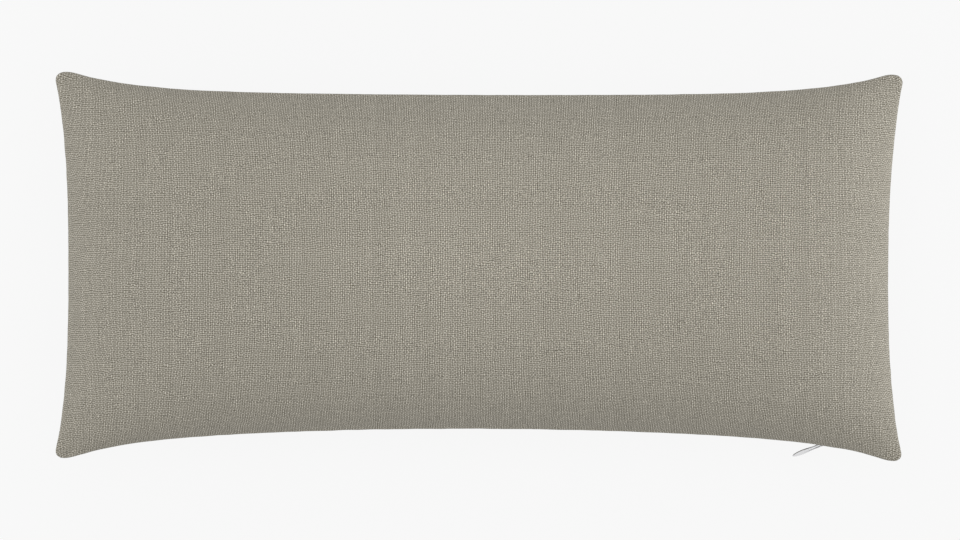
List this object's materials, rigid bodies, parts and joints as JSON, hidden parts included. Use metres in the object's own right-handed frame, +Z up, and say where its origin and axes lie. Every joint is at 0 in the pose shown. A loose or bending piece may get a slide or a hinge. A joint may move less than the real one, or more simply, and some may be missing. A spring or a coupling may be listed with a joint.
{
  "type": "lumbar throw pillow",
  "caption": "Filled oblong lumbar pillow with crowned faces, a plain knife-edge seam, drawn-in sides and soft corners, in plain-woven cloth with a hidden zip and a small metal pull.",
  "frame": {"origin": "middle of the pillow's box, on the surface that it lies on", "axes": "+X along the pillow, +Y across it to the upper long seam, +Z up out of its face"},
  "size_m": [0.6606, 0.3029, 0.1199],
  "materials": {
    "cover_cloth": "matt plain weave",
    "zip_metal": "polished plating"
  },
  "bodies": {
    "root": {"cushion": "cover_cloth", "zip_slider": "zip_metal", "zip_pull": "zip_metal"}
  },
  "joints": []
}
